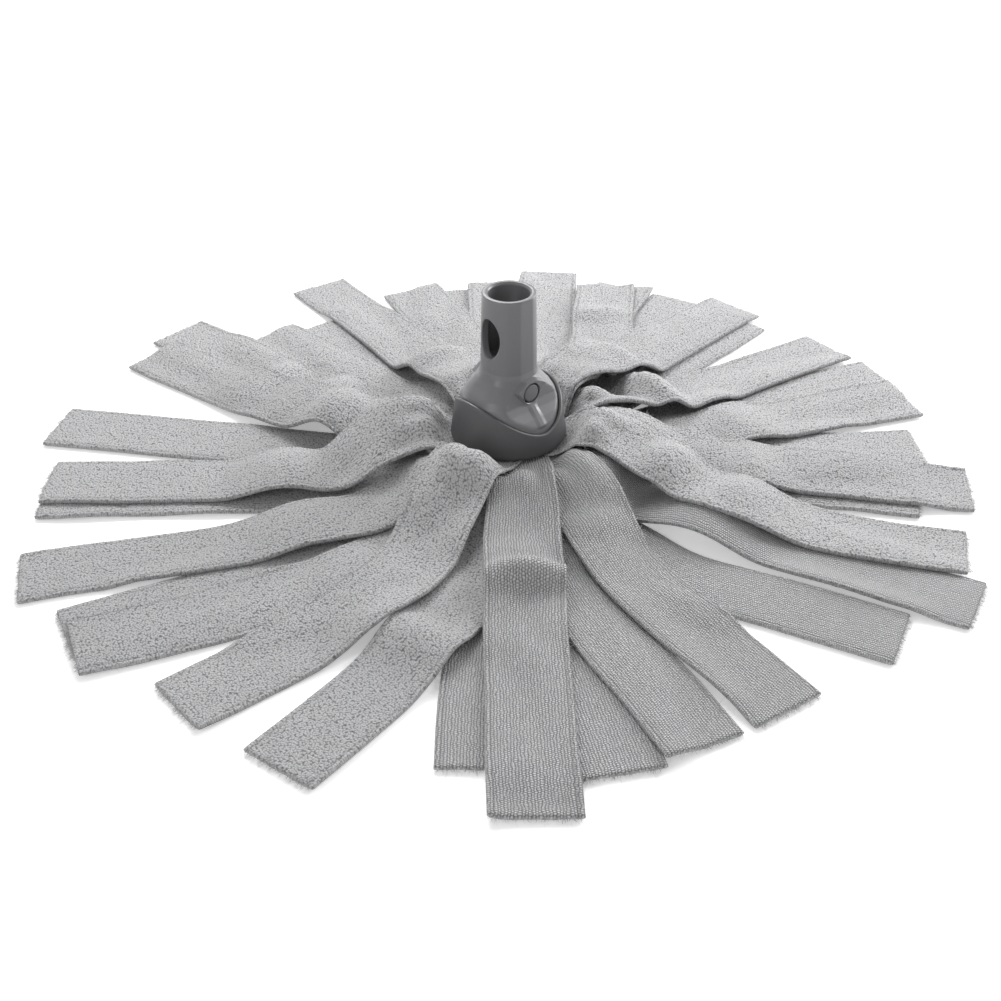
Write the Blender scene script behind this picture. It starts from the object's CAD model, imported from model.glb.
"""Strip mop head: socket, cup, snap studs and eighteen strips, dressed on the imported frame."""
import math

import bmesh
import bpy
import numpy as np
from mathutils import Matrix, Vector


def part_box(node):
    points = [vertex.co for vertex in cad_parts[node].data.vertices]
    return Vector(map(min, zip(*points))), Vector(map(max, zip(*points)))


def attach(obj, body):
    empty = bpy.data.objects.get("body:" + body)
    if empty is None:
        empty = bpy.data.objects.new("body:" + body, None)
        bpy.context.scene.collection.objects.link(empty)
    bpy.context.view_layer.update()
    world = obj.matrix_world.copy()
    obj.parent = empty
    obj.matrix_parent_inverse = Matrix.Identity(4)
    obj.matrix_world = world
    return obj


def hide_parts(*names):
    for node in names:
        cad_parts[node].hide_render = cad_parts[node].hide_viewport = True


bl_info = {
    "name": "Strip mop head",
    "version": (1, 0, 0),
    "blender": (4, 5, 0),
    "location": "View3D > Sidebar > Mop head",
    "description": "Builds the looks of a microfibre strip mop head with a click-in socket",
    "category": "Object",
}

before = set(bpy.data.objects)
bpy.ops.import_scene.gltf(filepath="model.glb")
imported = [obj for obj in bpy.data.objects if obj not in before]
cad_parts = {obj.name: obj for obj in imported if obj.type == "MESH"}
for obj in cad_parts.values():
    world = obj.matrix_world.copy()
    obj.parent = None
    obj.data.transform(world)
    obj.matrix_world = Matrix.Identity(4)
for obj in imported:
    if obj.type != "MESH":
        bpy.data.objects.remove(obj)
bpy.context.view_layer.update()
MM = 0.001

SOCKET_LOW, SOCKET_HIGH = [np.array(c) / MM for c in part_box("handle_socket")]
CUP_LOW, CUP_HIGH = [np.array(c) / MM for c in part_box("rim_cup")]
FLOOR_Z = float(SOCKET_LOW[2])
MOUTH_Z = float(SOCKET_HIGH[2])
CUP_Z = float(CUP_LOW[2])
CUP_R = float(CUP_HIGH[0])
STUD_FACE = -float(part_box("snap_stud_front")[0][1]) / MM
STUD_Z = float(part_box("snap_stud_front")[0][2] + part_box("snap_stud_front")[1][2]) / 2 / MM

# Sizes in mm. The lowest strip lies STACK_RISE over the clamp plate's foot, and the top one
# STACK_TALL higher. Strips are PRESSED thick as far out as HELD_R, and full from FREE_R on.
STACK_RISE, STACK_TALL = 3.8, 18.2
STACK_Z = float(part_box("clamp_plate")[0][2]) / MM + STACK_RISE
PRESSED, HELD_R, FREE_R = 1, 34, 70
MOUTH_R, BORE_R, BORE_DEEP = 16.2, 12.5, 44

# Points of a tail's course, columns of a laid sheet, and columns of a ribbon's upper face
TAIL_POINTS, SHEET_COLS, TOP_COLS = 300, 15, 37

# Each tail of a strip: its course as directions in degrees 50 mm out, 150 mm out and at the tip,
# its reach in mm, its place in the pile from the floor up, which face is up (1 is the knit),
# and its humps as (distance out, height over the floor, half length) in mm. Tail i and tail
# i + STRIPS are the two ends of one strip.
TAILS = [
    (4, 6, 6, 263, 6, 0, []),
    (12, 12, 9, 277, 33, 0, [(64, 38, 18), (118, 34, 18)]),
    (15, 17, 18, 267, 7, 0, []),
    (24, 27, 28, 271, 8, 0, []),
    (14, 22, 31, 261, 26, 0, [(66, 36, 20), (94, 36, 20), (206, 13, 18)]),
    (32, 39, 41, 283, 18, 0, [(64, 25, 22)]),
    (48, 50, 50, 255, 10, 0, []),
    (58, 57, 57, 251, 9, 0, []),
    (59, 61, 65, 258, 17, 0, [(64, 27, 22)]),
    (69, 74, 78, 296, 27, 0, [(62, 37, 20), (108, 29, 26)]),
    (80, 84, 85, 235, 11, 0, []),
    (92, 95, 94, 246, 12, 0, []),
    (118, 107, 102, 302, 22, 0, [(62, 30, 17), (138, 17, 18), (190, 10, 15)]),
    (136, 118, 109, 291, 30, 0, [(64, 46, 15), (118, 30, 24)]),
    (138, 132, 130, 301, 13, 0, []),
    (160, 152, 146, 287, 14, 0, []),
    (156, 149, 144, 286, 31, 0, [(54, 42, 18), (80, 32, 20), (140, 18, 32)]),
    (188, 172, 162, 302, 28, 0, [(64, 29, 20), (145, 13, 30)]),
    (190, 183, 174, 293, 15, 0, []),
    (208, 193, 177, 295, 20, 0, [(150, 8, 30)]),
    (200, 204, 192, 283, 35, 0, [(60, 45, 25)]),
    (226, 219, 206, 293, 21, 0, [(190, 12, 18)]),
    (222, 223, 225, 271, 0, 1, []),
    (236, 231, 230, 302, 32, 1, [(60, 30, 16), (140, 31, 9)]),
    (239, 238, 239, 279, 1, 1, []),
    (238, 243, 248, 273, 16, 1, []),
    (264, 257, 259, 269, 29, 1, [(62, 26, 14), (100, 18, 20)]),
    (253, 266, 278, 272, 2, 1, []),
    (284, 286, 288, 296, 23, 1, [(66, 28, 22), (135, 17, 36)]),
    (308, 292, 297, 282, 34, 0, [(57, 46, 19), (104, 34, 26), (150, 22, 30)]),
    (306, 309, 309, 253, 3, 0, []),
    (318, 312, 311, 286, 24, 0, [(66, 34, 22), (150, 13, 28)]),
    (320, 321, 321, 265, 4, 0, []),
    (318, 331, 334, 282, 19, 0, [(66, 27, 20), (156, 12, 28)]),
    (340, 341, 341, 284, 5, 0, []),
    (346, 350, 351, 279, 25, 0, [(62, 38, 18), (110, 32, 19)]),
]
STRIPS = len(TAILS) // 2

# The share of its width that a tail loses where it leaves the cup: SLIGHTLY if not listed
SLIGHTLY = 0.1
GATHERED = {20: 0.0, 1: 0.25, 13: 0.5, 12: 0.3, 27: 0.2, 35: 0.3, 33: 0.25, 17: 0.25}


# Shapes

def smooth(value, low, high):
    """Ease from 0 at low to 1 at high: 3s^2 - 2s^3 of the share s of the way."""
    share = np.clip((value - low) / (high - low), 0, 1)
    return share * share * (3 - 2 * share)


def soft_min(a, b, radius):
    """The lesser of a and b, with the corner between them rounded over about radius."""
    mix = np.clip(0.5 + 0.5 * (b - a) / radius, 0, 1)
    return b + (a - b) * mix - radius * mix * (1 - mix)


def cubic_weights(count, at):
    """Matrix of Catmull-Rom weights that reads count evenly spaced values at the places at."""
    first = np.clip(np.floor(at).astype(int), 0, count - 2)
    f = np.clip(at - first, 0, 1)
    parts = [(-f + 2 * f**2 - f**3) / 2, (2 - 5 * f**2 + 3 * f**3) / 2,
             (f + 4 * f**2 - 3 * f**3) / 2, (f**3 - f**2) / 2]
    out = np.zeros((len(at), count))
    rows = np.arange(len(at))
    for k, part in enumerate(parts):
        np.add.at(out, (rows, np.clip(first + k - 1, 0, count - 1)), part)
    return out


def soft_noise(rng, rows, cols, row_step, col_step):
    """Smooth noise of about unit height: random values on a coarse grid, read by cubic weights."""
    a, b = int(rows / row_step) + 3, int(cols / col_step) + 3
    left = cubic_weights(a, np.arange(rows) / row_step)
    right = cubic_weights(b, np.arange(cols) / col_step)
    return left @ rng.normal(0, 0.7, (a, b)) @ right.T


def ring_faces(rows, cols):
    """Quads of a grid of rows by cols points whose columns close into rings."""
    i, j = np.meshgrid(np.arange(rows - 1), np.arange(cols), indexing="ij")
    k = (j + 1) % cols
    quads = np.stack([i * cols + j, i * cols + k, (i + 1) * cols + k, (i + 1) * cols + j], -1)
    return quads.reshape(-1, 4)


def make_piece(name, points, faces, sharp=None):
    """A mesh object from points in mm and faces, smooth but for edges over sharp degrees."""
    mesh = bpy.data.meshes.new(name)
    mesh.from_pydata((points * MM).tolist(), [], faces)
    mesh.validate()
    mesh.shade_smooth()
    if sharp:
        mesh.set_sharp_from_angle(angle=math.radians(sharp))
    piece = bpy.data.objects.new(name, mesh)
    bpy.context.scene.collection.objects.link(piece)
    return piece


def closed_rings(grid):
    """Points and faces of a grid of rings whose first and last ring close at their own centres."""
    rows, cols = grid.shape[:2]
    points = np.concatenate([grid.reshape(-1, 3), grid[:1].mean(1), grid[-1:].mean(1)])
    ring = np.arange(cols)
    start = np.stack([np.roll(ring, -1), ring, np.full(cols, rows * cols)], -1)
    end = np.stack([ring, np.roll(ring, -1), np.full(cols, rows * cols + 1)], -1)
    end[:, :2] += (rows - 1) * cols
    return points, ring_faces(rows, cols).tolist() + start.tolist() + end.tolist()


def turned_outwards(piece):
    """Makes the faces of a closed piece point outwards: its signed volume becomes positive."""
    mesh = piece.data
    mesh.calc_loop_triangles()
    tris = np.zeros(len(mesh.loop_triangles) * 3, np.int64)
    mesh.loop_triangles.foreach_get("vertices", tris)
    points = np.zeros(len(mesh.vertices) * 3)
    mesh.vertices.foreach_get("co", points)
    a, b, c = [points.reshape(-1, 3)[tris.reshape(-1, 3)[:, k]] for k in range(3)]
    if np.einsum("ij,ij->i", a, np.cross(b, c)).sum() < 0:
        mesh.flip_normals()
    return piece


def turned_piece(name, profile, count, side):
    """A closed piece on one side: a profile of (radius, distance out) carried round the
    studs' axis, each of its points making a ring of count points."""
    turn = np.linspace(0, 2 * math.pi, count, endpoint=False)
    r, out = np.array(profile)[:, :1], np.array(profile)[:, 1:]
    grid = np.stack([r * np.cos(turn), side * out * np.ones_like(turn),
                     STUD_Z + r * np.sin(turn)], -1)
    return turned_outwards(make_piece(name, *closed_rings(grid)))


def bell_radius(turn, h):
    """Radius of the bell and tube at each angle and height.

    A circle that narrows upwards is cut by flats at the sides and by cheeks at the studs, each
    corner rounded. A shield-shaped boss stands on each cheek, with a narrow rib below it, and
    a shallow flat runs up the tube above it. The tables are of heights and the radii there, or
    for sweep the turn of the side flats in degrees.
    """
    cheeks_end, shield_low, shield_high, rib_wide, rib_proud = 46, 25, 42, 2.6, 1.5
    body = np.interp(h, [0, 11, 19, 23, 27, 31, 35, 39, 42, 45.2, 93.2],
                     [33.3, 31.8, 30.6, 30, 28.8, 26.4, 23, 19.6, 17.8, 17.2, 16.2])
    sweep = np.radians(np.interp(h, [0, 10, 23, 35, 42, 46], [0, 7, 9, 20, 16, 0]))
    cheek = np.interp(h, [0, 15, 19, 23, 27, 33, 39, 42, 46],
                      [33.3, 30.5, 27, 22.6, 19.6, 18.8, 17.9, 17.6, 19])
    across, along = np.abs(np.cos(turn)) + 1e-6, np.abs(np.sin(turn)) + 1e-6
    low = soft_min(soft_min(body, body * np.cos(sweep) / across + 0.25, 0.9),
                   cheek / along + 0.25, 1.1)
    low = np.where(h < cheeks_end, low, body)
    flat = body * 0.955 / along
    low = low + (soft_min(low, flat, 0.25) - low) * smooth(h, 39, 43)
    face = STUD_FACE + 0.95 * np.clip(26 - h, 0, 20)
    boss = soft_min(face / along, body + 2.8, 0.4)
    offset = np.minimum(face, boss * along) * across / along
    width = np.where(h > shield_low, np.minimum(rib_wide + 0.86 * (h - shield_low),
                                                4 + 1.7 * (shield_high - h)), rib_wide)
    inside = 1 - np.clip((offset - width + 1.2) / 2.6, 0, 1)
    inside = inside * (1 - smooth(h, 41, 42.1)) * smooth(h, 13, 15.5)
    rib = np.where(h > shield_low, 1.0, smooth(h, 12, 16))
    proud = np.where(h > shield_low, boss, np.minimum(boss, low + rib_proud))
    return low + np.clip(proud - low, 0, 6) * inside * rib


def build_socket(wall):
    """Bell and tube as one closed surface: the cavity up to its ceiling, the outside, the bore.

    Rings run from the middle of the cavity's ceiling down its wall, round the foot, up the
    outside by bell_radius, over the bevelled mouth and down the bore to its floor.
    """
    foot_r, ceiling, even = 33.3, 40.8, np.linspace(0, 1, 721)
    dense = 1 + 1.6 * np.exp(-((even * 4 % 2 - 1) / 0.42) ** 2)
    share = np.cumsum(dense) / dense.sum()
    turn = 2 * math.pi * np.interp(np.linspace(0, 1, 321)[1:], share, even)
    height = MOUTH_Z - FLOOR_Z
    up = np.concatenate([np.linspace(0.6, 12, 14), np.linspace(12.6, 47, 92),
                         np.linspace(49, height - 0.7, 24)])
    down = np.concatenate([np.linspace(ceiling, 14, 42), np.linspace(13, 0.4, 12)])
    h_in, h_out = down[:, None], up[:, None]
    wall_in = np.minimum(bell_radius(turn[None], h_in), foot_r) - wall
    outside = bell_radius(turn[None], h_out)
    rim = bell_radius(turn[None], np.full((1, 1), 0.0))
    rings = [(wall_in[:1] * f, np.full((1, 1), ceiling)) for f in (0.15, 0.5, 0.8)]
    rings += [(wall_in, h_in), (rim - wall + 0.3, np.zeros((1, 1))), (rim - 0.4, np.zeros((1, 1)))]
    rings += [(outside, h_out)]
    for r, h in [(MOUTH_R - 0.1, -0.4), (MOUTH_R - 0.3, -0.14), (MOUTH_R - 0.65, 0), (14.6, 0),
                 (13.75, 0), (13.62, -0.05), (12.6, -1.15), (BORE_R, -1.3)]:
        rings.append((np.full((1, 1), r), np.full((1, 1), height + h)))
    bore = np.concatenate([np.linspace(-2, -43.4, 40), [-BORE_DEEP]])
    rings.append((np.where(bore < -43.7, 12.1, BORE_R)[:, None], height + bore[:, None]))
    rings.append((np.array([[8.0], [3.0]]), np.full((2, 1), height - BORE_DEEP)))
    radius = np.concatenate([np.broadcast_to(r, (max(len(r), len(h)), len(turn)))
                             for r, h in rings])
    level = np.concatenate([np.broadcast_to(h, (max(len(r), len(h)), 1)) for r, h in rings])
    grid = np.stack([radius * np.cos(turn), radius * np.sin(turn),
                     FLOOR_Z + level + 0 * radius], -1)
    piece = turned_outwards(make_piece("socket_shell", *closed_rings(grid)))
    cutters = [window_cutter()] + [hole_cutter(s) for s in (-1, 1)]
    for cutter in cutters:
        cut = piece.modifiers.new("cut", "BOOLEAN")
        cut.operation, cut.solver, cut.object = "DIFFERENCE", "EXACT", cutter
    held = bpy.data.meshes.new_from_object(piece.evaluated_get(
        bpy.context.evaluated_depsgraph_get()))
    piece.modifiers.clear()
    piece.data = held
    for cutter in cutters:
        bpy.data.objects.remove(cutter)
    without_slivers(held)
    held.shade_smooth()
    held.set_sharp_from_angle(angle=math.radians(38))
    return piece


def without_slivers(mesh):
    """Merges what the cuts left closer together than a hundredth of a millimetre."""
    close = 0.00001
    work = bmesh.new()
    work.from_mesh(mesh)
    bmesh.ops.remove_doubles(work, verts=work.verts, dist=close)
    bmesh.ops.dissolve_degenerate(work, dist=close, edges=work.edges)
    work.to_mesh(mesh)
    work.free()


def window_cutter():
    """Oval prism along -X whose side flares by a quarter round where it meets the tube."""
    turn = np.linspace(0, 2 * math.pi, 96, endpoint=False)
    deep = np.array([12, 6, 3, 1.5, 0.9, 0.6, 0.35, 0.15, 0.02, -0.6, -4])
    half_wide, half_tall, drop, edge, taper = 7.8, 12.75, 26, 0.9, 48
    flare = edge - np.sqrt(np.clip(edge**2 - (edge - deep) ** 2, 0, None))
    flare = np.where(deep < 0, edge, np.where(deep > edge, 0, flare))[:, None]
    y = (half_wide + flare) * np.cos(turn)
    z = MOUTH_Z - drop + (half_tall + flare) * np.sin(turn)
    skin = MOUTH_R + (MOUTH_Z - z) / taper
    x = -np.sqrt(np.clip(skin**2 - y**2, 1, None)) + deep[:, None]
    return turned_outwards(make_piece("window_cutter", *closed_rings(np.stack([x, y, z], -1))))


def hole_cutter(side):
    """Round cutter for a stud: the wider room inside, the hole and a small bevel at its face."""
    face, room, hole, bevel = STUD_FACE, 7.7, 6.5, 6.8
    profile = [[room, face - 9.3], [room, face - 2.7], [hole, face - 2.65], [hole, face - 0.3],
               [bevel, face + 0.02], [bevel, face + 8]]
    return turned_piece("hole_cutter", profile, 72, side)


def build_cup(wall):
    """Cup: one closed section swept round, its rim as high as the power 1.7 of the cosine.

    The section goes up the outside, which leans in, over a round lip and down the inside to the
    floor, then out again underneath with a rounded foot.
    """
    turn = np.linspace(0, 2 * math.pi, 300, endpoint=False)
    tall = CUP_HIGH[2] - CUP_Z
    low_rim, lean_by, lean_from, foot, floor, above_floor, hole_r = 13.7, 4, 3, 2, 3, 3.8, 4.5
    rim = low_rim + (tall - low_rim) * np.abs(np.cos(turn)) ** 1.7

    def lean(h):
        return lean_by * np.clip(h - lean_from, 0, None) / (tall - lean_from)

    rows = []
    for a in np.radians(np.linspace(0, 90, 7)):
        rows.append((CUP_R - foot + foot * math.sin(a) + 0 * turn,
                     foot - foot * math.cos(a) + 0 * turn))
    top = rim - wall / 2
    for s in np.linspace(0.05, 1, 26):
        h = foot + (top - foot) * s
        rows.append((CUP_R - lean(h), h))
    for a in np.radians(np.linspace(15, 165, 11)):
        rows.append((CUP_R - lean(top) - wall / 2 + wall / 2 * math.cos(a),
                     top + wall / 2 * math.sin(a)))
    for s in np.linspace(1, 0, 24):
        h = above_floor + (top - above_floor) * s
        rows.append((CUP_R - wall - lean(h), h))
    for r, h in ((CUP_R - wall - 0.8, floor), (hole_r, floor), (hole_r, 0), (CUP_R - 2.4, 0)):
        rows.append((r + 0 * turn, h + 0 * turn))
    r = np.stack([r for r, _ in rows])
    z = CUP_Z + np.stack([h for _, h in rows])
    grid = np.stack([r * np.cos(turn), r * np.sin(turn), z], -1)
    count, cols = grid.shape[:2]
    faces = ring_faces(count, cols)
    last, first = (count - 1) * cols + np.arange(cols), np.arange(cols)
    close = np.stack([last, np.roll(last, -1), np.roll(first, -1), first], -1)
    faces = np.concatenate([faces, close]).tolist()
    return turned_outwards(make_piece("cup_shell", grid.reshape(-1, 3), faces, 40))


def build_stud(side):
    """Stud: a slightly domed face, a stem with a shoulder that holds it in, hollow from inside."""
    face, stem, shoulder, hollow = STUD_FACE, 5.6, 7.4, 3.8
    profile = [[1.5, face - 0.02], [3.2, face - 0.08], [4.6, face - 0.18], [5.2, face - 0.32],
               [5.5, face - 0.6], [5.58, face - 1], [stem, 18.1], [shoulder, 18.0],
               [shoulder, 16.75], [stem, 16.7], [stem, 6.1], [5.5, 6], [3.9, 6], [hollow, 6.1],
               [hollow, 13.4], [1.5, 13.5]]
    name = "stud_front_cap" if side < 0 else "stud_back_cap"
    return turned_piece(name, profile, 64, side)


# Strips

def tail_course(root, mid, tip, reach):
    """Points from the axis to a tip: the direction changes evenly in one over the distance out,
    so that a tail which is straight but off the axis stays straight, and bends are eased."""
    near, far, easing = 50, 150, 81
    out = np.linspace(0, reach, TAIL_POINTS)
    mid = root + (mid - root + 180) % 360 - 180
    tip = mid + (tip - mid + 180) % 360 - 180
    turn = np.interp(-1 / np.maximum(out, near), [-1 / near, -1 / far, -1 / reach],
                     [root, mid, tip])
    turn = np.pad(turn, easing // 2, mode="reflect", reflect_type="odd")
    ease = np.hanning(easing) / np.hanning(easing).sum()
    turn = np.radians(np.convolve(turn, ease, "valid"))
    return np.stack([out * np.cos(turn), out * np.sin(turn)], -1)


class Strip:
    """A strip's middle line on the floor, every 4 mm, and the heights of the cloth over it."""

    step = 4.0

    def __init__(self, number, width):
        a, b = TAILS[number], TAILS[number + STRIPS]
        line = np.concatenate([tail_course(*b[:4])[:0:-1], tail_course(*a[:4])])
        gaps = np.hypot(*np.diff(line, axis=0).T)
        far = np.concatenate([[0], np.cumsum(gaps)])
        middle = far[TAIL_POINTS - 1]
        count = int(far[-1] / self.step) + 1
        at = np.linspace(0, far[-1], count)
        line = np.stack([np.interp(at, far, line[:, k]) for k in (0, 1)], -1)
        padded = np.pad(line, ((4, 4), (0, 0)), mode="reflect", reflect_type="odd")
        self.line = sum(padded[k:k + count] for k in range(9)) / 9
        self.s = at - middle
        self.t = np.linspace(-width / 2, width / 2, SHEET_COLS)
        self.z = np.zeros((count, len(self.t)))
        ahead = np.gradient(self.line, axis=0)
        ahead /= np.hypot(*ahead.T)[:, None]
        self.side = np.stack([-ahead[:, 1], ahead[:, 0]], -1)
        self.rng = np.random.default_rng(400 + number)
        self.wave = soft_noise(self.rng, count, SHEET_COLS, 14, 12)
        self.curl = soft_noise(self.rng, count, 2, 9, 1)
        gather = np.where(self.s > 0, GATHERED.get(number, SLIGHTLY),
                          GATHERED.get(number + STRIPS, SLIGHTLY))
        self.pinch = 1 - gather * np.exp(-((np.abs(self.s) - 56) / 30) ** 2)
        wobble = soft_noise(self.rng, count, 1, 10, 1)[:, 0]
        self.line += self.side * (1.1 * wobble * smooth(np.abs(self.s), 60, 110))[:, None]

    def plan(self):
        """Where each point of the cloth is on the floor: the middle line and the width across."""
        across = self.t[None, :, None] * self.pinch[:, None, None]
        return self.line[:, None] + across * self.side[:, None]


def settle(under, step, radius):
    """Lowest sheet over a ground that bends no tighter than radius: the ground, each of whose
    points carries a falling parabola, taken at its highest."""
    place = np.arange(len(under)) * step
    drop = (place[:, None] - place[None]) ** 2 / (2 * radius)
    return (under[None] - drop[..., None]).max(1)


def cloth_depth(near, thick):
    """Thickness of a strip at a distance from the axis, eased from pressed to full."""
    return PRESSED + (thick - PRESSED) * smooth(near, HELD_R, FREE_R)


def blur(values, rounds):
    """Smooths along both ways by a repeated 1-2-1 mean."""
    for _ in range(rounds):
        p = np.pad(values, ((1, 1), (0, 0)), mode="edge")
        values = (p[:-2] + 2 * p[1:-1] + p[2:]) / 4
        p = np.pad(values, ((0, 0), (1, 1)), mode="edge")
        values = (p[:, :-2] + 2 * p[:, 1:-1] + p[:, 2:]) / 4
    return values


def lay_strips(width, thick):
    """Lays the tails one on another, the lowest first, and gives each strip its heights.

    A height map holds the top of what is already laid. A tail settles over it, gets its humps
    and its slight waves, goes in at its own level under the cup, and is added to the map.
    """
    strips = [Strip(j, width) for j in range(STRIPS)]
    cell, half, bend_along, bend_across = 2.0, 332.0, 34, 30
    size = int(2 * half / cell) + 1
    top = np.zeros((size, size))
    for tail in sorted(range(len(TAILS)), key=lambda i: TAILS[i][4]):
        strip = strips[tail % STRIPS]
        rank, humps = TAILS[tail][4], TAILS[tail][6]
        mine = strip.s >= 0 if tail < STRIPS else strip.s <= 0
        plan = strip.plan()[mine]
        out = np.abs(strip.s[mine])[:, None]
        near = np.hypot(plan[..., 0], plan[..., 1])
        ix, iy = [np.clip(((plan[..., k] + half) / cell).astype(int), 1, size - 2) for k in (0, 1)]
        ground = np.max([top[ix + a, iy + b] for a in (-1, 0, 1) for b in (-1, 0, 1)], axis=0)
        free = settle(ground, strip.step, bend_along)
        free = settle(free.T, strip.t[1] - strip.t[0], bend_across).T
        crown = 1 - 0.34 * (strip.t[None] / (width / 2)) ** 2
        for place, tall, long in humps:
            free = np.maximum(free, tall * np.exp(-((out - place) / long) ** 2) * crown)
        free = np.maximum(blur(free, 3), ground)
        lively = smooth(out, 45, 80) * (1 - 0.7 * smooth(out, 150, 260))
        free = free + np.clip(1.1 * strip.wave[mine], -0.2, 3) * lively
        edge = np.abs(strip.t[None] / (width / 2)) ** 5
        lift = np.where(strip.t[None] > 0, strip.curl[mine][:, :1], strip.curl[mine][:, 1:])
        free = free + edge * np.clip(1.3 * lift, 0, 2.5) * smooth(out, 60, 120)
        fold = 1.6 * np.cos(2 * math.pi * strip.t[None] / 21 + rank)
        free = free + fold * np.exp(-((out - 54) / 16) ** 2)
        free = np.maximum(free, ground + 0.1)
        full = cloth_depth(near, thick)
        held = STACK_Z + PRESSED / 2 + STACK_TALL * rank / (len(TAILS) - 1)
        share = smooth(near, HELD_R, 51)
        middle = held * (1 - share) + (free + full / 2) * share
        strip.z[mine] = middle
        fine_s = cubic_weights(mine.sum(), np.linspace(0, mine.sum() - 1, 3 * mine.sum()))
        fine_t = cubic_weights(SHEET_COLS, np.linspace(0, SHEET_COLS - 1, 43))
        px, py, pz = [fine_s @ g @ fine_t.T
                      for g in (plan[..., 0], plan[..., 1], middle + full / 2)]
        jx, jy = [np.clip(((g + half) / cell).astype(int), 0, size - 1) for g in (px, py)]
        np.maximum.at(top, (jx, jy), pz)
    for strip in strips:
        strip.z = np.maximum(strip.z, 0.5)
    return strips


def strip_surface(strip, number, width, thick):
    """Closed ribbon: the laid sheet read every 1.3 mm, offset both ways by half its thickness
    along its own normal, with round edges, a stitched groove near each edge and a rough pile."""
    count = len(strip.s)
    length = strip.s[-1] - strip.s[0]
    rows = int(length / 1.3)
    at = np.linspace(0, count - 1, rows)
    top = np.linspace(-1, 1, TOP_COLS)
    bottom = np.linspace(1, -1, 11)
    bend = np.radians([60, 20, -20, -60])
    inner = 1 - thick / width
    across = np.concatenate([top * inner, inner + (1 - inner) * np.cos(bend),
                             bottom * inner, -inner - (1 - inner) * np.cos(bend)])
    level = np.concatenate([np.ones(len(top)), np.sin(bend), -np.ones(len(bottom)),
                            np.sin(bend[::-1])])
    along = cubic_weights(count, at)
    over = cubic_weights(SHEET_COLS, (across + 1) * (SHEET_COLS - 1) / 2)
    plan = strip.plan()
    sheet = np.stack([along @ g @ over.T for g in (plan[..., 0], plan[..., 1], strip.z)], -1)
    fine_cols = 2 * SHEET_COLS - 1
    fine = cubic_weights(SHEET_COLS, np.linspace(0, SHEET_COLS - 1, fine_cols))
    flat = np.stack([along @ g @ fine.T for g in (plan[..., 0], plan[..., 1], strip.z)], -1)
    normal = np.cross(np.gradient(flat, axis=0), np.gradient(flat, axis=1))
    normal /= np.linalg.norm(normal, axis=-1, keepdims=True) + 1e-9
    normal *= np.sign(normal[..., 2:] + 1e-9)
    pick = cubic_weights(fine_cols, (across + 1) * (fine_cols - 1) / 2)
    normal = np.stack([normal[..., k] @ pick.T for k in range(3)], -1)
    normal /= np.linalg.norm(normal, axis=-1, keepdims=True)
    near = np.hypot(sheet[..., 0], sheet[..., 1])
    s = np.interp(at, np.arange(count), strip.s)
    end = np.minimum(s - s[0], s[-1] - s)[:, None]
    half = cloth_depth(near, thick) / 2
    half = half * (0.62 + 0.38 * smooth(end, 0, 1.8))
    t = across * width / 2
    knit_a, knit_b = TAILS[number][5], TAILS[number + STRIPS][5]
    up = np.where(s > 0, knit_a, knit_b)[:, None]
    knit = np.where(level > 0, up, 1 - up) * np.ones_like(near)
    seam_in, seam_deep, seam_wide = 3.1, 0.5, 0.55
    groove = seam_deep * np.exp(-((np.abs(t) - width / 2 + seam_in) / seam_wide) ** 2)
    rough = soft_noise(strip.rng, rows, len(across), 1.7, 1.7)
    pile = (0.3 * rough * (1 - 0.75 * knit) - groove[None]) * (near > 40)
    off = level * (half + pile * (np.abs(level) > 0.9))
    grid = sheet + normal * off[..., None]
    grid[..., 2] = np.maximum(grid[..., 2], 0.05)
    faces = ring_faces(rows, len(across))
    cols = len(across)
    caps = [list(range(cols - 1, -1, -1)), [(rows - 1) * cols + k for k in range(cols)]]
    piece = make_piece("strip_cloth_%02d" % (number + 1), grid.reshape(-1, 3),
                       faces.tolist() + caps)
    turned_outwards(piece)
    mesh = piece.data
    mark = mesh.attributes.new("knit", "FLOAT", "POINT")
    mark.data.foreach_set("value", knit.ravel().astype(np.float32))
    corner = np.zeros(len(mesh.loops), np.int64)
    mesh.loops.foreach_get("vertex_index", corner)
    lengths = np.stack([np.broadcast_to(t, near.shape),
                        np.broadcast_to(s[:, None], near.shape)], -1)
    cloth_map = mesh.uv_layers.new(name="cloth")
    cloth_map.data.foreach_set("uv", (lengths.reshape(-1, 2)[corner] * MM).ravel())
    return piece, grid[:, :TOP_COLS], s


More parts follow.
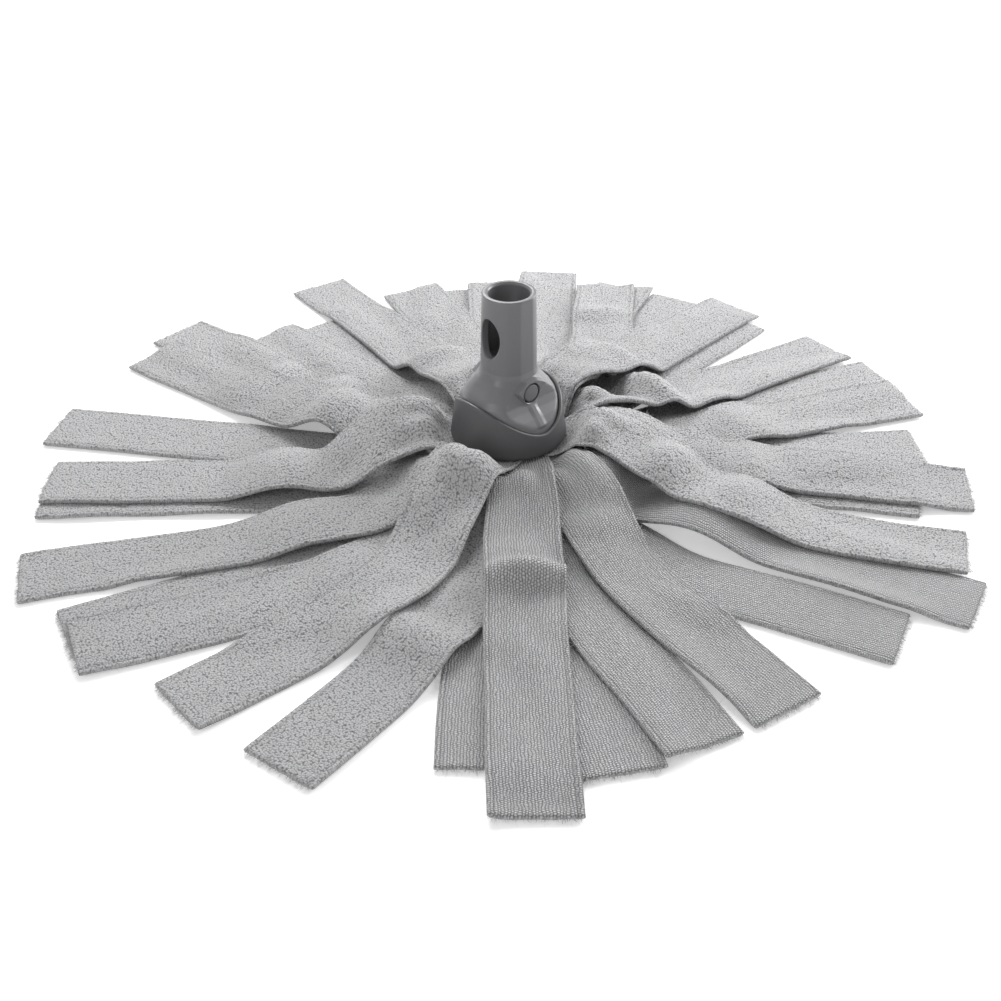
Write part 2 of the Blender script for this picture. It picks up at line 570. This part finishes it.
def build_fray(number, grid, rng):
    """Loose fibres: thin three-sided tubes that start on a cut end or an edge and curl away."""
    per_end, per_edge, thin_at_root, points_each = 190, 500, 0.12, 4
    rows, cols = grid.shape[:2]
    roots, heads = [], []
    for row, way in ((rows - 1, 1), (0, -1)):
        pick = rng.uniform(0, cols - 1.01, per_end)
        low = pick.astype(int)
        f = (pick - low)[:, None]
        roots.append(grid[row, low] * (1 - f) + grid[row, low + 1] * f)
        ahead = (grid[row] - grid[row - 3 * way])[low]
        heads.append(ahead / np.linalg.norm(ahead, axis=1, keepdims=True)
                     * rng.uniform(1.0, 2.8, (per_end, 1)))
    for col, inward in ((0, 2), (cols - 1, cols - 3)):
        row = rng.integers(int(rows * 0.02), int(rows * 0.98), per_edge)
        row = row[np.hypot(*grid[row, col, :2].T) > 55]
        ahead = grid[row, col] - grid[row, inward]
        roots.append(grid[row, col])
        heads.append(ahead / np.linalg.norm(ahead, axis=1, keepdims=True)
                     * rng.uniform(0.9, 2.2, (len(row), 1)))
    roots, heads = np.concatenate(roots), np.concatenate(heads)
    roots = roots - [0, 0, 0.8] * rng.uniform(0, 2, (len(roots), 1))
    heads = heads + rng.normal(0, 0.75, heads.shape)
    bend = rng.normal(0, 0.7, heads.shape)
    share = np.linspace(0, 1, points_each)[None, :, None]
    line = roots[:, None] + heads[:, None] * share + bend[:, None] * share**2
    angle = np.radians([0, 120, 240])
    thin = thin_at_root * (1 - 0.6 * share)
    side = np.cross(heads, [0, 0, 1.0])
    side /= np.linalg.norm(side, axis=1, keepdims=True) + 1e-9
    rise = np.cross(side, heads)
    rise /= np.linalg.norm(rise, axis=1, keepdims=True) + 1e-9
    ring = (side[:, None, None] * np.cos(angle)[None, None, :, None]
            + rise[:, None, None] * np.sin(angle)[None, None, :, None])
    points = line[:, :, None] + ring * thin[..., None]
    points[..., 2] = np.maximum(points[..., 2], 0.02)
    start = np.arange(len(roots)) * points_each * len(angle)
    quads = ring_faces(points_each, len(angle))[None] + start[:, None, None]
    caps = np.concatenate([start[:, None] + [2, 1, 0], start[:, None] + [9, 10, 11]]).tolist()
    return turned_outwards(make_piece("strip_fray_%02d" % (number + 1), points.reshape(-1, 3),
                                      quads.reshape(-1, 4).tolist() + caps))


# Materials

def node(tree, kind, place=(0, 0), sets=(), **links):
    """Adds a shader node, sets its own settings, and links or fills its inputs. An input goes by
    its name, or by its place as i0, i1 and so on."""
    made = tree.nodes.new(kind)
    made.location = place
    for key, value in dict(sets).items():
        setattr(made, key, value)
    for key, value in links.items():
        slot = made.inputs[int(key[1:]) if key[1:].isdigit() else key]
        if isinstance(value, bpy.types.NodeSocket):
            tree.links.new(value, slot)
        else:
            slot.default_value = value
    return made


def math_node(tree, what, *values):
    """One Math node of the kind what, with its values in order."""
    return node(tree, "ShaderNodeMath", sets={"operation": what},
                **{"i%d" % k: v for k, v in enumerate(values)}).outputs[0]


def noise(tree, at, scale, detail=2.0, read=0):
    """One Noise texture, read as a value, or as a colour when read is 1."""
    return node(tree, "ShaderNodeTexNoise", Vector=at, Scale=scale, Detail=detail).outputs[read]


def remap(tree, value, low, high, to_low=0.0, to_high=1.0):
    """A value carried from one range to another and held at its ends."""
    return node(tree, "ShaderNodeMapRange", Value=value, i1=low, i2=high, i3=to_low,
                i4=to_high).outputs[0]


def humps(tree, value):
    """|sin(pi value)|: a row of humps, one between each whole number and the next."""
    return math_node(tree, "ABSOLUTE", math_node(tree, "SINE", math_node(
        tree, "MULTIPLY", value, math.pi)))


def toned(colour, by):
    """A colour made darker or lighter, no part of it over 1."""
    return [min(1, c * by) for c in colour]


def new_group(name, inputs, outputs):
    """A shader node group with its inputs and outputs, as (name, kind, default)."""
    tree = bpy.data.node_groups.new(name, "ShaderNodeTree")
    for title, kind, value in inputs:
        made = tree.interface.new_socket(title, in_out="INPUT", socket_type=kind)
        if value is not None:
            made.default_value = value
    for title, kind in outputs:
        tree.interface.new_socket(title, in_out="OUTPUT", socket_type=kind)
    return tree, tree.nodes.new("NodeGroupInput"), tree.nodes.new("NodeGroupOutput")


def pile_group():
    """Looped pile: cells of one loop each, bent by noise; a loop's middle is high and light."""
    tree, given, out = new_group(
        "looped_pile",
        [("Vector", "NodeSocketVector", None), ("Loop", "NodeSocketFloat", 0.00118)],
        [("Shade", "NodeSocketFloat"), ("Height", "NodeSocketFloat")])
    per = math_node(tree, "DIVIDE", 1.0, given.outputs["Loop"])
    scaled = node(tree, "ShaderNodeVectorMath", sets={"operation": "SCALE"},
                  i0=given.outputs["Vector"], Scale=per).outputs[0]
    bent = noise(tree, scaled, 0.9, read=1)
    moved = node(tree, "ShaderNodeVectorMath", sets={"operation": "MULTIPLY_ADD"},
                 i0=bent, i1=(1.5, 1.5, 0.0), i2=scaled).outputs[0]
    cells = node(tree, "ShaderNodeTexVoronoi", sets={"voronoi_dimensions": "2D"}, Vector=moved,
                 Scale=1.0, Randomness=1.0)
    loop = math_node(tree, "SUBTRACT", 1.0, cells.outputs["Distance"])
    small = noise(tree, scaled, 3.2, 3.0)
    high = math_node(tree, "MULTIPLY_ADD", small, 0.5, loop)
    tree.links.new(remap(tree, high, 0.42, 1.0), out.inputs["Shade"])
    tree.links.new(high, out.inputs["Height"])
    return tree


def knit_group():
    """Rib knit: columns along the strip, each a row of stitches half a stitch off the next."""
    tree, given, out = new_group(
        "rib_knit", [("Vector", "NodeSocketVector", None), ("Rib", "NodeSocketFloat", 0.0016)],
        [("Shade", "NodeSocketFloat"), ("Height", "NodeSocketFloat")])
    parts = node(tree, "ShaderNodeSeparateXYZ", Vector=given.outputs["Vector"])
    wander = noise(tree, given.outputs["Vector"], 260.0)
    column = math_node(tree, "DIVIDE", parts.outputs["X"], given.outputs["Rib"])
    column = math_node(tree, "MULTIPLY_ADD", wander, 1.6, column)
    rib = humps(tree, column)
    stitch = math_node(tree, "DIVIDE", parts.outputs["Y"], math_node(
        tree, "MULTIPLY", given.outputs["Rib"], 0.8))
    stitch = math_node(tree, "ADD", stitch, math_node(tree, "MULTIPLY", math_node(
        tree, "FLOOR", column), 0.5))
    small = noise(tree, given.outputs["Vector"], 1500.0)
    dots = math_node(tree, "MULTIPLY", rib, humps(tree, stitch))
    high = math_node(tree, "MULTIPLY_ADD", dots, 0.85, math_node(tree, "MULTIPLY", rib, 0.25))
    high = math_node(tree, "MULTIPLY_ADD", small, 1.2, high)
    tree.links.new(remap(tree, high, 0.6, 1.75), out.inputs["Shade"])
    tree.links.new(high, out.inputs["Height"])
    return tree


def grain_group():
    """Moulded plastic: fine spark-eroded grain, a slow mottle and light scuffs."""
    tree, given, out = new_group(
        "moulded_grain",
        [("Vector", "NodeSocketVector", None), ("Grain", "NodeSocketFloat", 1800.0)],
        [("Mottle", "NodeSocketFloat"), ("Height", "NodeSocketFloat"),
         ("Scuff", "NodeSocketFloat")])
    fine = noise(tree, given.outputs["Vector"], given.outputs["Grain"])
    slow = noise(tree, given.outputs["Vector"], 38.0, 3.0)
    drawn = node(tree, "ShaderNodeMapping", Vector=given.outputs["Vector"],
                 Scale=(900.0, 900.0, 60.0)).outputs[0]
    scuff = remap(tree, noise(tree, drawn, 1.0, 4.0), 0.62, 0.8)
    for title, value in (("Mottle", slow), ("Height", fine), ("Scuff", scuff)):
        tree.links.new(value, out.inputs[title])
    return tree


def shell(name):
    """A new material with its Principled shader."""
    material = bpy.data.materials.new(name)
    material.use_nodes = True
    tree = material.node_tree
    return material, tree, tree.nodes["Principled BSDF"]


def two_shades(tree, factor, dark, light):
    """Mixes two colours by a factor."""
    mix = node(tree, "ShaderNodeMix", sets={"data_type": "RGBA"})
    if isinstance(factor, bpy.types.NodeSocket):
        tree.links.new(factor, mix.inputs[0])
    for slot, value in ((6, dark), (7, light)):
        if isinstance(value, bpy.types.NodeSocket):
            tree.links.new(value, mix.inputs[slot])
        else:
            mix.inputs[slot].default_value = (*value[:3], 1)
    return mix.outputs[2]


def plastic(name, group, colour, rough, grain=1800.0, metal=0.0):
    """Satin moulded plastic or drawn metal: colour and roughness vary a little over the surface."""
    material, tree, surface = shell(name)
    place = node(tree, "ShaderNodeTexCoord").outputs["Object"]
    made = node(tree, "ShaderNodeGroup", sets={"node_tree": group}, Vector=place, Grain=grain)
    base = two_shades(tree, made.outputs["Mottle"], toned(colour, 0.93), toned(colour, 1.07))
    base = two_shades(tree, math_node(tree, "MULTIPLY", made.outputs["Scuff"], 0.12), base,
                      toned(colour, 1.8))
    tree.links.new(base, surface.inputs["Base Color"])
    tree.links.new(remap(tree, made.outputs["Mottle"], 0.3, 0.7, rough - 0.04, rough + 0.05),
                   surface.inputs["Roughness"])
    bump = node(tree, "ShaderNodeBump", Height=made.outputs["Height"], Strength=0.12,
                Distance=0.00008)
    tree.links.new(bump.outputs[0], surface.inputs["Normal"])
    surface.inputs["Metallic"].default_value = metal
    return material


def cloth(name, pile, knit, colour, tone):
    """Microfibre: pile or knit by the knit mark, a stitched line near each edge, soft sheen."""
    material, tree, surface = shell(name)
    lengths = node(tree, "ShaderNodeUVMap", sets={"uv_map": "cloth"}).outputs[0]
    mark = node(tree, "ShaderNodeAttribute", sets={"attribute_name": "knit"}).outputs["Fac"]
    loops = node(tree, "ShaderNodeGroup", sets={"node_tree": pile}, Vector=lengths)
    ribs = node(tree, "ShaderNodeGroup", sets={"node_tree": knit}, Vector=lengths)
    seam_at, edge_from, edge_to = 0.0194, 0.0216, 0.0223
    off = math_node(tree, "ABSOLUTE", node(
        tree, "ShaderNodeSeparateXYZ", Vector=lengths).outputs["X"])
    line = math_node(tree, "ABSOLUTE", math_node(tree, "SUBTRACT", off, seam_at))
    line = remap(tree, line, 0.0003, 0.0009, 0.34, 0.0)
    side = remap(tree, off, edge_from, edge_to, 0.0, 0.28)
    seam = math_node(tree, "MAXIMUM", line, side)
    full = toned(colour, tone)
    loose = two_shades(tree, loops.outputs["Shade"], toned(full, 0.34), toned(full, 1.24))
    tight = two_shades(tree, ribs.outputs["Shade"], toned(full, 0.44), toned(full, 1.66))
    both = two_shades(tree, mark, loose, tight)
    both = two_shades(tree, seam, both, toned(full, 0.3))
    vary = remap(tree, noise(tree, lengths, 45.0, 3.0), 0.3, 0.7, 0.0, 0.16)
    both = two_shades(tree, vary, both, toned(full, 0.72))
    tree.links.new(both, surface.inputs["Base Color"])
    surface.inputs["Roughness"].default_value = 0.95
    surface.inputs["Specular IOR Level"].default_value = 0.2
    surface.inputs["Sheen Weight"].default_value = 0.25
    surface.inputs["Sheen Roughness"].default_value = 0.6
    high = node(tree, "ShaderNodeMix", sets={"data_type": "FLOAT"})
    tree.links.new(mark, high.inputs[0])
    tree.links.new(loops.outputs["Height"], high.inputs[2])
    tree.links.new(ribs.outputs["Height"], high.inputs[3])
    bump = node(tree, "ShaderNodeBump", Height=high.outputs[0], Strength=1.0, Distance=0.0009)
    tree.links.new(bump.outputs[0], surface.inputs["Normal"])
    return material


def group_of(name, maker):
    """The shader group of that name, made once."""
    return bpy.data.node_groups.get(name) or maker()


def dress(piece, material):
    """Gives a piece its one material."""
    piece.data.materials.clear()
    piece.data.materials.append(material)


# Settings

class PlasticSettings(bpy.types.PropertyGroup):
    socket_colour: bpy.props.FloatVectorProperty(
        name="Socket colour", description="Colour of the bell and tube", subtype="COLOR",
        size=3, min=0, max=1, default=(0.165, 0.165, 0.172))
    cup_colour: bpy.props.FloatVectorProperty(
        name="Cup colour", description="Colour of the rim cup", subtype="COLOR",
        size=3, min=0, max=1, default=(0.088, 0.088, 0.092))
    satin: bpy.props.FloatProperty(
        name="Satin", description="Roughness of the outer plastics", subtype="FACTOR",
        min=0.1, max=0.9, default=0.37)
    bell_wall: bpy.props.FloatProperty(
        name="Bell wall", description="Thickness of the bell, in millimetres",
        min=1.8, max=3.2, default=2.6)
    cup_wall: bpy.props.FloatProperty(
        name="Cup wall", description="Thickness of the cup, in millimetres",
        min=1.6, max=3.2, default=2.4)


class ClothSettings(bpy.types.PropertyGroup):
    colour: bpy.props.FloatVectorProperty(
        name="Cloth colour", description="Colour of the microfibre", subtype="COLOR",
        size=3, min=0, max=1, default=(0.445, 0.443, 0.453))
    width: bpy.props.FloatProperty(
        name="Strip width", description="Width of a strip, in millimetres",
        min=30, max=60, default=45)
    thick: bpy.props.FloatProperty(
        name="Cloth thickness", description="Thickness of a free strip, in millimetres",
        min=1.5, max=4, default=3.0)


class StageSettings(bpy.types.PropertyGroup):
    sky: bpy.props.FloatProperty(
        name="Surrounding light", description="Strength of the even light all round",
        min=0, max=3, default=0.5)
    key: bpy.props.FloatProperty(
        name="Key light", description="Power of the large light", subtype="POWER", unit="POWER",
        min=0, max=200, default=10)


# Operators

class MOPHEAD_OT_stage(bpy.types.Operator):
    """Floor, soft light and the camera"""
    bl_idname = "mophead.stage"
    bl_label = "Stage"

    def execute(self, context):
        scene, wants = context.scene, context.scene.mop_stage
        camera = bpy.data.cameras.new("view")
        camera.sensor_width, camera.lens, camera.clip_start = 36, 49.27, 0.05
        held = bpy.data.objects.new("view", camera)
        held.location = (-0.4957, -0.5431, 0.472)
        held.rotation_euler = (math.radians(55.74), 0, math.radians(-42))
        scene.collection.objects.link(held)
        scene.camera = held
        side, low = 9.0, -0.0005
        mesh = bpy.data.meshes.new("floor")
        mesh.from_pydata([(-side, -side, low), (side, -side, low), (side, side, low),
                          (-side, side, low)], [], [(0, 1, 2, 3)])
        floor = bpy.data.objects.new("floor", mesh)
        scene.collection.objects.link(floor)
        material, _, surface = shell("pale_floor")
        surface.inputs["Base Color"].default_value = (0.93, 0.93, 0.93, 1)
        surface.inputs["Emission Color"].default_value = (1, 1, 1, 1)
        surface.inputs["Emission Strength"].default_value = 0.3
        surface.inputs["Roughness"].default_value = 0.9
        surface.inputs["Specular IOR Level"].default_value = 0.1
        dress(floor, material)
        world = bpy.data.worlds.new("soft_sky")
        world.use_nodes = True
        colour, strength = world.node_tree.nodes["Background"].inputs[:2]
        colour.default_value, strength.default_value = (1, 1, 1, 1), wants.sky
        scene.world = world
        scene.view_settings.view_transform = "Standard"
        for name, place, wide, tall, power in (
                ("key", (0.35, 0.72, 0.85), 0.6, 0.6, wants.key * 1.25),
                ("side", (1.05, -0.2, 0.5), 0.4, 0.7, wants.key * 1.3),
                ("fill", (-1.2, -0.1, 0.5), 0.12, 0.8, wants.key * 0.3)):
            lamp = bpy.data.lights.new(name, "AREA")
            lamp.shape = "RECTANGLE"
            lamp.size, lamp.size_y, lamp.energy = wide, tall, power
            made = bpy.data.objects.new(name, lamp)
            made.location = place
            made.rotation_euler = aim(place)
            scene.collection.objects.link(made)
        return {"FINISHED"}


def aim(place):
    """Turn that points a light's -Z from its place to the middle of the head."""
    x, y, z = place
    middle = 0.05
    return (math.atan2(math.hypot(x, y), z - middle), 0, math.atan2(x, -y))


class MOPHEAD_OT_socket(bpy.types.Operator):
    """Bell and tube of the handle socket"""
    bl_idname = "mophead.socket"
    bl_label = "Handle socket"

    def execute(self, context):
        wants = context.scene.mop_plastic
        piece = build_socket(wants.bell_wall)
        dress(piece, plastic("socket_plastic", group_of("moulded_grain", grain_group),
                             wants.socket_colour, wants.satin))
        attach(piece, "head")
        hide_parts("handle_socket")
        return {"FINISHED"}


class MOPHEAD_OT_cup(bpy.types.Operator):
    """Rim cup with its two ears"""
    bl_idname = "mophead.cup"
    bl_label = "Rim cup"

    def execute(self, context):
        wants = context.scene.mop_plastic
        piece = build_cup(wants.cup_wall)
        dress(piece, plastic("cup_plastic", group_of("moulded_grain", grain_group),
                             wants.cup_colour, wants.satin + 0.06))
        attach(piece, "head")
        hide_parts("rim_cup")
        return {"FINISHED"}


class MOPHEAD_OT_studs(bpy.types.Operator):
    """The two snap studs"""
    bl_idname = "mophead.studs"
    bl_label = "Snap studs"

    def execute(self, context):
        wants = context.scene.mop_plastic
        material = plastic("stud_plastic", group_of("moulded_grain", grain_group),
                           toned(wants.socket_colour, 0.92), wants.satin)
        for side, name in ((-1, "front"), (1, "back")):
            piece = build_stud(side)
            dress(piece, material)
            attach(piece, "stud_" + name)
            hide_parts("snap_stud_" + name)
        return {"FINISHED"}


class MOPHEAD_OT_inner(bpy.types.Operator):
    """Finishes of the post, the plate and the springs"""
    bl_idname = "mophead.inner"
    bl_label = "Inner parts"

    def execute(self, context):
        group = group_of("moulded_grain", grain_group)
        matte = plastic("inner_plastic", group, (0.09, 0.09, 0.095), 0.55, 1200.0)
        wire = plastic("spring_steel", group, (0.6, 0.6, 0.62), 0.3, 2600.0, 1.0)
        for name, material in (("core_post", matte), ("clamp_plate", matte),
                               ("stud_spring_front", wire), ("stud_spring_back", wire)):
            dress(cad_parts[name], material)
        return {"FINISHED"}


class MOPHEAD_OT_strips(bpy.types.Operator):
    """The eighteen strips and their loose fibres"""
    bl_idname = "mophead.strips"
    bl_label = "Strips"

    def execute(self, context):
        wants = context.scene.mop_cloth
        pile, knit = group_of("looped_pile", pile_group), group_of("rib_knit", knit_group)
        for j, strip in enumerate(lay_strips(wants.width, wants.thick)):
            piece, top, s = strip_surface(strip, j, wants.width, wants.thick)
            tone = 1 + 0.035 * float(strip.rng.uniform(-1, 1))
            material = cloth("strip_cloth_%02d" % (j + 1), pile, knit, wants.colour, tone)
            dress(piece, material)
            fray = build_fray(j, top, strip.rng)
            dress(fray, fibre_material(wants.colour))
            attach(piece, "head")
            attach(fray, "head")
            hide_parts("strip_%02d" % (j + 1))
        return {"FINISHED"}


def fibre_material(colour):
    """Loose fibres, a little lighter than the cloth, their tone varying from place to place."""
    made = bpy.data.materials.get("loose_fibre")
    if made:
        return made
    made, tree, surface = shell("loose_fibre")
    place = node(tree, "ShaderNodeTexCoord").outputs["Object"]
    shade = two_shades(tree, noise(tree, place, 900.0), toned(colour, 0.95), toned(colour, 1.4))
    tree.links.new(shade, surface.inputs["Base Color"])
    surface.inputs["Roughness"].default_value = 0.9
    surface.inputs["Sheen Weight"].default_value = 0.2
    return made


class MOPHEAD_PT_panel(bpy.types.Panel):
    bl_idname = "MOPHEAD_PT_panel"
    bl_label = "Mop head"
    bl_space_type = "VIEW_3D"
    bl_region_type = "UI"
    bl_category = "Mop head"

    def draw(self, context):
        scene = context.scene
        for settings in (scene.mop_plastic, scene.mop_cloth, scene.mop_stage):
            box = self.layout.box()
            for key in settings.__annotations__:
                box.prop(settings, key)
        for made in OPERATORS:
            self.layout.operator(made.bl_idname)


OPERATORS = (MOPHEAD_OT_stage, MOPHEAD_OT_socket, MOPHEAD_OT_cup, MOPHEAD_OT_studs,
             MOPHEAD_OT_inner, MOPHEAD_OT_strips)
CLASSES = (PlasticSettings, ClothSettings, StageSettings, *OPERATORS, MOPHEAD_PT_panel)


def register():
    for made in CLASSES:
        bpy.utils.register_class(made)
    bpy.types.Scene.mop_plastic = bpy.props.PointerProperty(type=PlasticSettings)
    bpy.types.Scene.mop_cloth = bpy.props.PointerProperty(type=ClothSettings)
    bpy.types.Scene.mop_stage = bpy.props.PointerProperty(type=StageSettings)


def unregister():
    del bpy.types.Scene.mop_stage, bpy.types.Scene.mop_cloth, bpy.types.Scene.mop_plastic
    for made in reversed(CLASSES):
        bpy.utils.unregister_class(made)


def main():
    register()
    bpy.ops.mophead.stage()
    bpy.ops.mophead.socket()
    bpy.ops.mophead.cup()
    bpy.ops.mophead.studs()
    bpy.ops.mophead.inner()
    bpy.ops.mophead.strips()
    bpy.context.view_layer.update()


if __name__ == "__main__":
    main()
